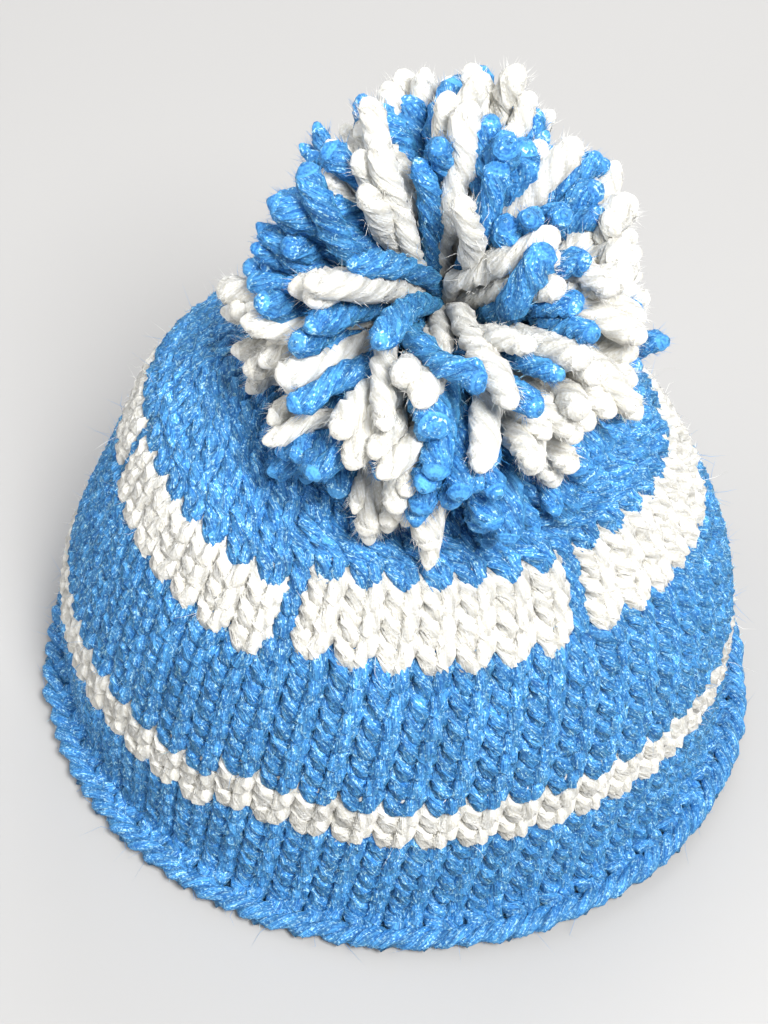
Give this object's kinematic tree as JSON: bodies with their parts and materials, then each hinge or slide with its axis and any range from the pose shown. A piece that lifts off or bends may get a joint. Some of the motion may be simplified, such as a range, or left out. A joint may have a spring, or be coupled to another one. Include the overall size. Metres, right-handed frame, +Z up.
{
  "type": "knitted baby hat with pompom",
  "caption": "Hollow knitted dome hat standing on its open rolled brim, with a white stripe, a ring of white blocks and a large strand pompom on the crown.",
  "frame": {"origin": "centre of the open brim, in the plane that the hat rests on", "axes": "+Z up through the crown, -Y towards the front, which the pompom nods to"},
  "size_m": [0.1126, 0.1092, 0.1211],
  "materials": {
    "blue_yarn": "soft acrylic yarn with a slight sheen, medium blue",
    "white_yarn": "soft acrylic yarn with a slight sheen, off-white",
    "pompom_yarn": "cut strands of the blue and the off-white yarn, mixed"
  },
  "bodies": {
    "root": {"lower_band": "blue_yarn", "white_stripe": "white_yarn", "crown": "blue_yarn", "block_1": "white_yarn", "block_2": "white_yarn", "block_3": "white_yarn", "block_4": "white_yarn", "block_5": "white_yarn", "block_6": "white_yarn", "block_7": "white_yarn", "pompom": "pompom_yarn"}
  },
  "joints": []
}
